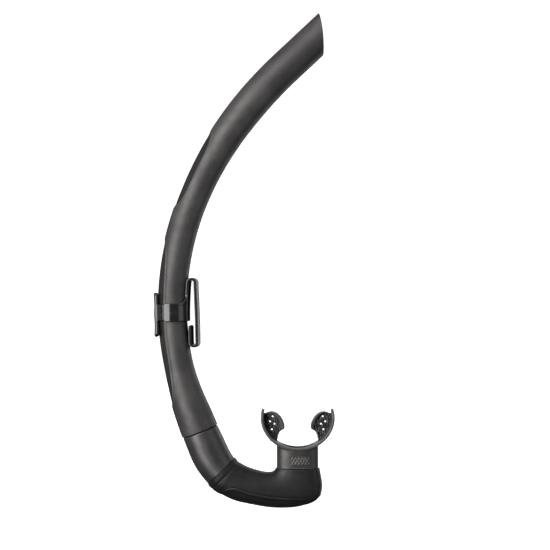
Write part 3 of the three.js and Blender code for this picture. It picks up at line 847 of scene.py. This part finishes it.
def make_elbow():
    outer = [(LOFT_RADIUS, LOFT_HEIGHT * t) for t in [0, *spaced(0.012, 0.985, 150), 1]]
    pocket = [(LOFT_RADIUS - 3.3, LOFT_HEIGHT * t) for t in spaced(1, 0.93, 5)]
    passage = [(LOFT_RADIUS - lerp(6, 4.6, t), LOFT_HEIGHT * t) for t in spaced(0.93, SOCKET_END, 40)]
    socket = [(LOFT_RADIUS - 3.5, LOFT_HEIGHT * t) for t in spaced(SOCKET_END, 0, 6)]
    bm = spun(outer + pocket + passage + socket, COLUMNS)
    soften(bm, 0.5)
    return placed(bm, elbow_place)


piece("elbow", make_elbow(), "lower", ELBOW_RUBBER)

# %% [markdown]
# ## The mouthpiece spigot
# A hard oval tube stands in the elbow's neck, and the soft mouthpiece snaps over a bead on it. Like the
# other tubes it is spun as a round one, but then it is squared off by the same superellipse as the neck.

# %% Mouthpiece spigot
SPIGOT_OVAL = (MOUTH_SLEEVE[0] - 2.2 - SLIP, MOUTH_SLEEVE[1] - 2.2 - SLIP)
SPIGOT_WALL, SPIGOT_TOP, SPIGOT_LENGTH, BEAD, BEAD_AT = 1.9, -4.5, 25.5, 0.7, -8.5
TUBE = 50  # radius of a spun tube's outside before it is squared off


def oval_at(co, halves):
    """The x and y that a spun tube's vertex takes on an oval of two half sizes."""
    inset = TUBE - math.hypot(co.x, co.y)
    along, across = superellipse(math.atan2(co.y, co.x), OVAL_POWER)
    return along * (halves[0] - inset), across * (halves[1] - inset)


def make_mouth_spigot():
    foot = SPIGOT_TOP - SPIGOT_LENGTH
    turns = spaced(-math.pi / 2, math.pi / 2, 10)
    bead = [(TUBE + BEAD * math.cos(a), BEAD_AT + math.sin(a)) for a in turns]
    outer = [(TUBE, z) for z in spaced(foot, BEAD_AT - 2, 10)] + bead + [(TUBE, SPIGOT_TOP)]
    inner = [(TUBE - SPIGOT_WALL, z) for z in spaced(SPIGOT_TOP, foot, 12)]
    bm = spun(outer + inner, 144)
    soften(bm, 0.5, sharper_than=60)
    return placed(bm, lambda co: Vector((*oval_at(co, SPIGOT_OVAL), co.z)))


piece("mouthpiece_spigot", make_mouth_spigot(), "lower", INNER_PLASTIC)

# %% [markdown]
# ## Mouldings with soft corners
# The mouthpiece and the clip are single mouldings made of plates that run into each other with soft
# corners. Their parts are drawn as simple closed bodies, and a voxel remesh makes one skin of them. A few
# rounds of smoothing then round every edge and fill every corner, as a mould's radii do.

# %% Tools for mouldings
def as_object(name, bm):
    mesh = bpy.data.meshes.new(name)
    bmesh.ops.recalc_face_normals(bm, faces=bm.faces)
    bm.to_mesh(mesh)
    bm.free()
    made = bpy.data.objects.new(name, mesh)
    bpy.context.scene.collection.objects.link(made)
    return made


def with_modifiers_applied(made):
    """A bmesh of an object as its modifiers leave it. The object is removed."""
    bpy.context.view_layer.update()
    evaluated = made.evaluated_get(bpy.context.evaluated_depsgraph_get())
    bm = bmesh.new()
    bm.from_mesh(evaluated.to_mesh())
    evaluated.to_mesh_clear()
    bpy.data.objects.remove(made)
    return bm


def cut(bm, *tools):
    """What is left of a closed body when closed tools are taken away."""
    body = as_object("cut_body", bm)
    cutters = [as_object("cutter", tool) for tool in tools]
    for cutter in cutters:
        modifier = body.modifiers.new("cut", "BOOLEAN")
        modifier.operation, modifier.solver, modifier.object = "DIFFERENCE", "EXACT", cutter
    left = with_modifiers_applied(body)
    for cutter in cutters:
        bpy.data.objects.remove(cutter)
    return left


def moulded(bodies, voxel, rounds):
    """One skin round overlapping closed bodies."""
    whole = bmesh.new()
    for bm in bodies:
        part = as_object("part", bm)
        whole.from_mesh(part.data)
        bpy.data.objects.remove(part)
    made = as_object("moulding", whole)
    remesh = made.modifiers.new("skin", "REMESH")
    remesh.mode, remesh.voxel_size = "VOXEL", voxel
    smooth = made.modifiers.new("soften", "SMOOTH")
    smooth.factor, smooth.iterations = 0.5, rounds
    return with_modifiers_applied(made)


def plate(outline, depth, steps=1, holes=()):
    """A flat outline of (x, z) points made depth thick across Y, with round holes of (x, z, radius)."""
    bm = bmesh.new()
    loop = [bm.verts.new((x, -depth / 2, z)) for x, z in outline]
    edges = [bm.edges.new((loop[i - 1], loop[i])) for i in range(len(loop))]
    for x, z, radius in holes:
        flat = Matrix.Translation((x, -depth / 2, z)) @ Matrix.Rotation(math.pi / 2, 4, "X")
        ring = bmesh.ops.create_circle(bm, segments=20, radius=radius, matrix=flat)["verts"]
        edges += {edge for vertex in ring for edge in vertex.link_edges}
    bmesh.ops.triangle_fill(bm, edges=edges, use_beauty=True)
    layer = list(bm.faces)
    for _ in range(steps):
        made = bmesh.ops.extrude_face_region(bm, geom=layer)["geom"]
        moved = [element for element in made if isinstance(element, bmesh.types.BMVert)]
        bmesh.ops.translate(bm, vec=(0, depth / steps, 0), verts=moved)
        layer = [element for element in made if isinstance(element, bmesh.types.BMFace)]
    return bm


def bar(width, thickness, corner, across=10, turns=4):
    """The section of a flat bar as (u, v) points: u across its width, v through it, with round corners."""
    half, deep = width / 2 - corner, thickness / 2 - corner
    points = []
    for side, start in ((1, -90), (1, 0), (-1, 90), (-1, 180)):
        up = -1 if start in (-90, 180) else 1
        for angle in spaced(start * DEGREE, (start + 90) * DEGREE, turns):
            points.append((side * half + corner * math.cos(angle), up * deep + corner * math.sin(angle)))
        if start in (0, 180):
            points += [(side * u, up * thickness / 2) for u in spaced(half, -half, across)[1:-1]]
    return points


def swept(section, places):
    """Draws a closed section of (u, v) points at each place(u, v) in turn, with a face at each end."""
    bm = bmesh.new()
    number = bm.verts.layers.int.new("section_point")
    for i, (u, v) in enumerate(section):
        bm.verts.new(places[0](u, v))[number] = i
    face = bm.faces.new(bm.verts)
    for place in places[1:]:
        made = bmesh.ops.extrude_face_region(bm, geom=[face])["geom"]
        face = next(element for element in made if isinstance(element, bmesh.types.BMFace))
        for vertex in face.verts:
            vertex.co = place(*section[vertex[number]])
    return bm


def round_end(distance, radius):
    """How much of a section is left near a round end, from almost 0 at the end to 1."""
    return max(0.08, math.sqrt(max(0.0, 1 - (1 - min(distance / radius, 1)) ** 2)))


# %% [markdown]
# ## The lip shield
# The shield is a band of even thickness that follows an ellipse, open at the top, where its two ends are
# rounded off. Sweeping a flat section along the ellipse makes it in one go, and narrowing the section near
# the tips rounds them.

# %% Lip shield
SHIELD_HEIGHT, SHIELD_TIP, TIP_ROUND = 22, 33.4, 8
BAND = (SHIELD_WIDTH - SHIELD_WALL / 2, SHIELD_DEPTH - SHIELD_WALL / 2)  # half axes of its middle line


def make_shield():
    tip_angle = math.asin((SHIELD_TIP - SHIELD_CENTRE) / BAND[1])

    def place_at(angle):
        middle = Vector((BAND[0] * math.cos(angle), SHIELD_CENTRE + BAND[1] * math.sin(angle)))
        out = Vector((math.cos(angle) / BAND[0], math.sin(angle) / BAND[1])).normalized()
        rise = max(0, middle.y - (SHIELD_TIP - TIP_ROUND)) / TIP_ROUND
        half = SHIELD_HEIGHT / 2 - TIP_ROUND * (1 - math.sqrt(max(0, 1 - min(rise, 1) ** 2)))
        wide = half / (SHIELD_HEIGHT / 2)

        def place(u, v):
            flat = middle + out * v
            return Vector((flat.x, u * wide, flat.y))

        return place

    section = bar(SHIELD_HEIGHT, SHIELD_WALL, 1.1, across=14)
    tips = spaced(0, 0.2, 8)[:-1]
    angles = [tip_angle - a for a in tips] + spaced(tip_angle - 0.2, 0.2 - math.pi - tip_angle, 110)
    angles += [a - math.pi - tip_angle for a in reversed(tips)]
    return swept(section, [place_at(angle) for angle in angles])


# %% [markdown]
# ## Bite tabs and sleeve
# Each tab is a plate with a raised ridge along its free edge, which the teeth close behind, and four holes.
# The oval sleeve grows up out of the elbow's neck until it meets the shield, so its top follows the
# shield's ellipse.

# %% Tabs, sleeve and throat
TAB_EDGE = [(-28.6, 29.6), (-25.6, 30.8), (-22.2, 31.4), (-18, 29.9), (-14.5, 26.6), (-12.2, 22.4),
            (-11.2, 18.4), (-11.6, 16)]
TAB_FOOT = [(-15.2, 14), (-16.8, 10.6), (-17.4, 7), (-19, 3.6), (-23.5, 5.2), (-28.4, 12.4), (-30.4, 20)]
TAB_HOLES = [(-21.8, 26.9), (-24, 22.6), (-20.2, 20.4), (-22.3, 15.6)]
TAB_HOLE, TAB_WALL, RIDGE_DEPTH = 0.84, 3.2, 8.4


def make_tab(side):
    """A bite tab's plate and ridge; side is 1 on the left and -1 on the right."""
    knots = [Vector(point) for point in TAB_EDGE]
    edge = [curve_through(knots, share) for share in spaced(0, 1, 30)]
    holes = [(side * x, z, TAB_HOLE) for x, z in TAB_HOLES]
    ridge = edge[10:]
    back = [p + Vector((-2.6, -0.4)) for p in reversed(ridge)]

    def flip(points):
        return [(side * x, z) for x, z in points]

    return plate(flip(edge + TAB_FOOT), TAB_WALL, holes=holes), plate(flip(ridge + back), RIDGE_DEPTH)


def shield_height(x):
    """The height of the shield's middle line over x."""
    return SHIELD_CENTRE - BAND[1] * math.sqrt(1 - (x / BAND[0]) ** 2)


def make_mouth_sleeve():
    """The oval sleeve: a wide bore round the spigot, and a narrower throat above it."""
    foot, ledge, top = NECK_TOP + SLIP, SPIGOT_TOP + SLIP, 100
    bore, throat = TUBE - 2.2, TUBE - 4.4
    outline = [(TUBE, foot), (TUBE, ledge), (TUBE, top), (throat, top)]
    outline += [(throat, ledge), (bore, ledge), (bore, foot)]
    bm = spun(outline, 144)

    def place(co):
        x, y = oval_at(co, MOUTH_SLEEVE)
        return Vector((x, y, shield_height(x) if co.z > top / 2 else co.z))

    return placed(bm, place)


def make_throat_tool():
    outline = [superellipse(angle, OVAL_POWER) for angle in spaced(0, 2 * math.pi, 72)[1:]]
    half = (SPIGOT_OVAL[0] - SPIGOT_WALL, SPIGOT_OVAL[1] - SPIGOT_WALL)
    return swept(outline, [lambda u, v, z=z: Vector((u * half[0], v * half[1], z)) for z in (-12, 12)])


# %% [markdown]
# The parts become one silicone moulding, and the grip dimples are pressed into its front and back. They sit
# in three staggered rows, which a loop lays out, and each vertex sinks by how near it is to a dimple's
# middle.

# %% Mouthpiece
DIMPLE_PITCH, DIMPLE_RADIUS, DIMPLE_DEPTH = 2.9, 1.0, 0.45
DIMPLE_ROWS, DIMPLES_AT, DIMPLES_REACH = [-8.3, -10.5, -12.7], 1.4, 7.6  # heights, middle, half width


def press_dimples(bm):
    for vertex in bm.verts:
        if abs(vertex.co.y) < MOUTH_SLEEVE[1] - 1.2 or vertex.co.z > -6:
            continue
        for row, height in enumerate(DIMPLE_ROWS):
            shift = DIMPLE_PITCH / 2 * (row % 2)
            nearest = round((vertex.co.x - shift) / DIMPLE_PITCH) * DIMPLE_PITCH + shift
            away = math.hypot(vertex.co.x - nearest, vertex.co.z - height) / DIMPLE_RADIUS
            if abs(nearest - DIMPLES_AT) < DIMPLES_REACH and away < 1:
                vertex.co.y -= math.copysign(DIMPLE_DEPTH * (1 - away**2), vertex.co.y)


def make_mouthpiece():
    shield = cut(make_shield(), make_throat_tool())
    bm = moulded([shield, make_mouth_sleeve(), *make_tab(1), *make_tab(-1)], voxel=0.42, rounds=5)
    press_dimples(bm)
    return bm


piece("mouthpiece", make_mouthpiece(), "lower", MOUTHPIECE_SILICONE)

# %% [markdown]
# ## The strap clip's jaws
# The clip is drawn round the barrel's centreline where it sits, with x pointing out to the hook and z up
# the barrel, and is put in its place at the end. The jaws are a flat bar swept round the barrel, with its
# corners rounded off at both ends.

# %% Jaws
KEEPER_AT = 107
RING_HEIGHT, JAW_REACH = 15.8, 115 * DEGREE
BAR_CORNER = 0.75
HOOK_WIDTH, HOOK_WALL = 16.6, 2.4
HOOK_OUTSIDE = RING_INNER + HOOK_WALL


def on_keeper(co):
    x, z, lean = centreline(KEEPER_AT)
    slide, rise = Vector((math.cos(lean), 0, math.sin(lean))), Vector((-math.sin(lean), 0, math.cos(lean)))
    return Vector((x, 0, z)) + slide * co.x + rise * co.z + Vector((0, co.y, 0))


def arc_bar(inner, outer, start, end, height, corner, steps):
    """A flat bar swept round the centreline, whose ends have round corners."""

    def place_at(angle):
        left = min(angle - start, end - angle) * outer
        tall = 1 - (corner - corner * round_end(left, corner)) / (height / 2)

        def place(u, v):
            radius = (inner + outer) / 2 + v
            return Vector((radius * math.cos(angle), -radius * math.sin(angle), u * tall))

        return place

    tip = corner / outer
    ends = [tip * (1 - math.cos(a)) for a in spaced(0, math.pi / 2, 6)][:-1]
    middle = spaced(start + tip, end - tip, steps)
    angles = [start + a for a in ends] + middle + [end - a for a in reversed(ends)]
    return swept(bar(height, outer - inner, BAR_CORNER, across=2), [place_at(angle) for angle in angles])


# %% [markdown]
# ## The hook
# The mask strap slides into a J-shaped hook. Its path runs up the barrel, over the top, down the outside
# and round to a short lip. A sweep follows that path with the same curved section as the ring, and a web
# with hollow sides ties the inner arm down to the ring.

# %% Hook and web
HOOK_SLOT, LIP_SLOT, HOOK_TOP, HOOK_FOOT, LIP_TOP = 5.5, 2.8, 29.6, -30.9, -11.3
HOOK_LEAN = 0.6  # how far the outer arm leans out towards its foot
WEB_REACH, WEB_TOP, WEB_HOLLOW = 11.5, 24, 2.2  # past the arm, height, and the power of its hollow side


def hook_path():
    """The middle line of the strip, as (x, z) points."""
    arm = RING_INNER + HOOK_WALL / 2
    outer = arm + HOOK_WALL + HOOK_SLOT
    lip = outer - HOOK_WALL - LIP_SLOT
    top, foot = HOOK_TOP - HOOK_WALL / 2, HOOK_FOOT + HOOK_WALL / 2
    arm_top = arm + top**2 / (2 * SLIDE_RADIUS)
    over, under = (outer - arm_top) / 2, (outer + HOOK_LEAN - lip) / 2
    start, pull = Vector((arm, -RING_HEIGHT / 2)), Vector((arm, RING_HEIGHT / 2))
    end = Vector((arm_top, top - over))
    path = [start * (1 - w) ** 2 + pull * 2 * w * (1 - w) + end * w**2 for w in spaced(0, 1, 26)]
    path += [Vector((arm_top + over - over * math.cos(a), top - over + over * math.sin(a)))
             for a in spaced(0, math.pi, 16)[1:]]
    path += [Vector((outer + HOOK_LEAN * smoothstep(w / 0.7), lerp(top - over, foot + under, w)))
             for w in spaced(0, 1, 30)[1:]]
    path += [Vector((lip + under + under * math.cos(a), foot + under - under * math.sin(a)))
             for a in spaced(0, math.pi, 14)[1:]]
    return path + [Vector((lip, z)) for z in spaced(foot + under, LIP_TOP, 16)[1:]]


def bowed(point, y):
    """A point of the middle plane moved to y, on a strip that is curved across as the ring is."""
    return Vector((point.x - HOOK_OUTSIDE + math.sqrt(HOOK_OUTSIDE**2 - y * y), y, point.y))


def make_hook():
    path = hook_path()
    length = sum((b - a).length for a, b in zip(path, path[1:]))
    places, run = [], 0
    for i, point in enumerate(path):
        along = (path[min(i + 1, len(path) - 1)] - path[max(i - 1, 0)]).normalized()
        side = Vector((-along.y, along.x))
        run += (point - path[i - 1]).length if i else 0
        thin, narrow = round_end(length - run, 1.2), 1 - 0.2 * (1 - round_end(length - run, 3))
        places.append(lambda u, v, p=point, n=side, t=thin, w=narrow: bowed(p + n * v * t, u * w))
    return swept(bar(HOOK_WIDTH, HOOK_WALL, 0.6, across=12), places)


def make_web():
    """The curved web between the ring and the inner arm, drawn flat and wrapped round the barrel."""
    half, low, top = HOOK_WIDTH / 2 - 0.4, RING_HEIGHT / 2 - 1.5, RING_HEIGHT / 2
    hollow = [(half + WEB_REACH * (1 - w) ** WEB_HOLLOW, top - 0.3 + (WEB_TOP - top) * w**WEB_HOLLOW)
              for w in spaced(0, 1, 18)]
    right = [(half + WEB_REACH, low), *hollow]
    bm = plate(right + [(-u, z) for u, z in reversed(right)], 2.0)
    for u in spaced(-half - 11, half + 11, 28):
        everything = bm.verts[:] + bm.edges[:] + bm.faces[:]
        bmesh.ops.bisect_plane(bm, geom=everything, plane_co=(u, 0, 0), plane_no=(1, 0, 0))

    def place(co):
        radius, angle = RING_INNER + 1.2 + co.y, co.x / (RING_INNER + RING_WALL)
        lean_out = co.z**2 / (2 * SLIDE_RADIUS)
        return Vector((radius * math.cos(angle) + lean_out, -radius * math.sin(angle), co.z))

    return placed(bm, place)


def make_strap_clip():
    outside = RING_INNER + RING_WALL
    jaws = arc_bar(RING_INNER, outside, -JAW_REACH, JAW_REACH, RING_HEIGHT, 1.5, 90)
    return placed(moulded([jaws, make_hook(), make_web()], voxel=0.3, rounds=5), on_keeper)


piece("strap_clip", make_strap_clip(), "keeper", CLIP_PLASTIC)

# %% [markdown]
# ## The thumb plate
# Behind the barrel the ring is closed by a satin block under a thumb plate. The plate's outside is crowned
# and a little hollow above and below its middle, where the thumb pushes, and its inside follows the barrel,
# so no gap shows between them. The block is thinner and shorter than the ring, so the ring's end stands
# clear. A key on the block's inside runs in the barrel's lower flute and stops the clip from turning.

# %% Back plate
PLATE_TOP, PLATE_FOOT, PLATE_WALL = 17.4, -21.2, 1.9
PLATE_CROWN, PLATE_CORNER, PLATE_END = 29, 4, 1.8  # radii: across it, of its corners, of its ends
PLATE_GAP = 0.6  # from the barrel's waist
PLATE_OUTSIDE = RING_INNER + RING_WALL + 0.15
BLOCK_SUNK, BLOCK_SHORT = 0.7, 1.8  # how much thinner and shorter than the ring the block is
KEY_REACH = 34 * DEGREE


def make_plate_shell():
    middle, half = (PLATE_TOP + PLATE_FOOT) / 2, (PLATE_TOP - PLATE_FOOT) / 2
    heights = [middle - half * math.cos(a) for a in spaced(0, math.pi, 48)]

    def place_at(z):
        share = (z - middle) / half
        left = half - abs(z - middle)
        wide = 1 - PLATE_CORNER * (1 - round_end(left, PLATE_CORNER)) / (HOOK_WIDTH / 2)
        rounded = round_end(left, PLATE_END)
        hollow = 0.3 * math.sin(math.pi * min(1, abs(share) * 1.1)) ** 2

        def place(u, v):
            y = u * wide
            crown = PLATE_CROWN - math.sqrt(PLATE_CROWN**2 - y * y)
            outer = -PLATE_OUTSIDE + crown + hollow
            inner = z * z / (2 * SLIDE_RADIUS) - math.sqrt((WAIST + PLATE_GAP) ** 2 - y * y)
            return Vector(((outer + inner) / 2 + v * (inner - outer) * rounded, y, z))

        return place

    section = [(u, v / PLATE_WALL) for u, v in bar(HOOK_WIDTH, PLATE_WALL, 0.8, 12)]
    return swept(section, [place_at(z) for z in heights])


def make_back_plate():
    outside = RING_INNER + RING_WALL
    key_inner = WAIST - 0.9 + GLIDE

    def behind(inner, outer, reach, height, steps):
        return arc_bar(inner, outer, math.pi - reach, math.pi + reach, height, 0.8, steps)

    reach = math.pi - JAW_REACH - SLIP / RING_INNER
    block = behind(RING_INNER, outside - BLOCK_SUNK, reach, RING_HEIGHT - BLOCK_SHORT, 50)
    key = behind(key_inner, outside - 1, KEY_REACH, RING_HEIGHT, 30)
    return placed(moulded([make_plate_shell(), block, key], voxel=0.3, rounds=4), on_keeper)


piece("clip_back_plate", make_back_plate(), "keeper", PLATE_PLASTIC)

# %% [markdown]
# ## The studio
# A catalogue picture of a black object is lit to draw its edges, and what lights it must not show. The floor
# and the backdrop are one pale bowl, so no horizon shows from any side. It glows a little, and it is hidden
# from reflections and bounced light: a black object in a bright bowl would turn grey, and this keeps the
# paper white and the rubber black.

# %% Floor and backdrop
low, high = cad_box
middle = (low + high) / 2


def make_cove():
    """A pale bowl: a round floor that curves up into a wall on every side."""
    wide, rise, bend = 2.6, 3.2, 0.9
    floor = low.z - 0.004
    outline = [(0, floor), (wide - bend, floor)]
    outline += [(wide - bend + bend * math.sin(a), floor + bend - bend * math.cos(a))
                for a in spaced(0, math.pi / 2, 24)[1:]]
    bm = spun([*outline, (wide, floor + rise)], 96, closed=False)
    for face in bm.faces:
        face.smooth = True
    cove = as_object("studio_cove", bm)
    paper = Finish("studio_paper")
    tone = paper.noise(700, detail=2).ranged(0.3, 0.7)
    white = paper.mix(tone, grey(0.86), grey(0.9))
    glow = {"Emission_Color": (1, 1, 1, 1), "Emission_Strength": 0.95}
    cove.data.materials.append(paper.done(Base_Color=white, Roughness=0.9, **glow))
    cove.visible_diffuse = False
    cove.visible_glossy = False
    return cove


make_cove()

# %% [markdown]
# Six softboxes do the lighting. A tall key in front on the left makes the long soft highlight down every
# tube, and the dim ones on the right, above and behind keep the other sides from going flat. Each is given
# by its direction and distance, which is how a studio sets it up, and is turned to face the object's
# middle. They are hidden from the camera, so that a view from the back doesn't look into a lamp.

# %% Lights, camera
def softbox(name, azimuth, elevation, distance, size, power, tint=(1, 1, 1)):
    """Angles are in degrees, and azimuth 0 is the camera's side, growing to its left. Power is in watts."""
    lamp = bpy.data.lights.new(name, "AREA")
    lamp.shape, lamp.size, lamp.size_y = "RECTANGLE", *size
    lamp.energy, lamp.color = power, tint
    made = bpy.data.objects.new(name, lamp)
    a, e = azimuth * DEGREE, elevation * DEGREE
    towards = Vector((-math.sin(a) * math.cos(e), -math.cos(a) * math.cos(e), math.sin(e)))
    made.location = middle + towards * distance
    made.rotation_mode = "QUATERNION"
    made.rotation_quaternion = towards.to_track_quat("Z", "Y")
    made.visible_camera = False
    bpy.context.scene.collection.objects.link(made)


softbox("key_softbox", 37, 4, 1.3, (1.0, 2.0), 54, (1, 0.965, 0.955))
softbox("fill_softbox", -62, 5, 1.5, (0.9, 1.7), 6)
softbox("left_softbox", 98, 5, 1.5, (1.1, 1.9), 2.5)
softbox("right_softbox", -132, 5, 1.4, (0.6, 1.8), 7)
softbox("top_softbox", 10, 78, 1.4, (1.2, 1.2), 6)
softbox("back_softbox", 180, 5, 1.6, (1.5, 1.8), 9)

world = bpy.data.worlds.new("studio_air")
world.use_nodes = True
world.node_tree.nodes["Background"].inputs["Color"].default_value = (0.9, 0.92, 0.95, 1)
world.node_tree.nodes["Background"].inputs["Strength"].default_value = 0.12
bpy.context.scene.world = world

camera_data = bpy.data.cameras.new("camera")
camera_data.sensor_width, camera_data.lens = 36, 102.3  # millimetres
camera = bpy.data.objects.new("camera", camera_data)
camera.location = (-0.01966, -1.36, 0.1498)  # level, and square to the middle plane
camera.rotation_euler = (math.pi / 2, 0, 0)
bpy.context.scene.collection.objects.link(camera)
bpy.context.scene.camera = camera
bpy.context.scene.view_settings.view_transform = "Standard"
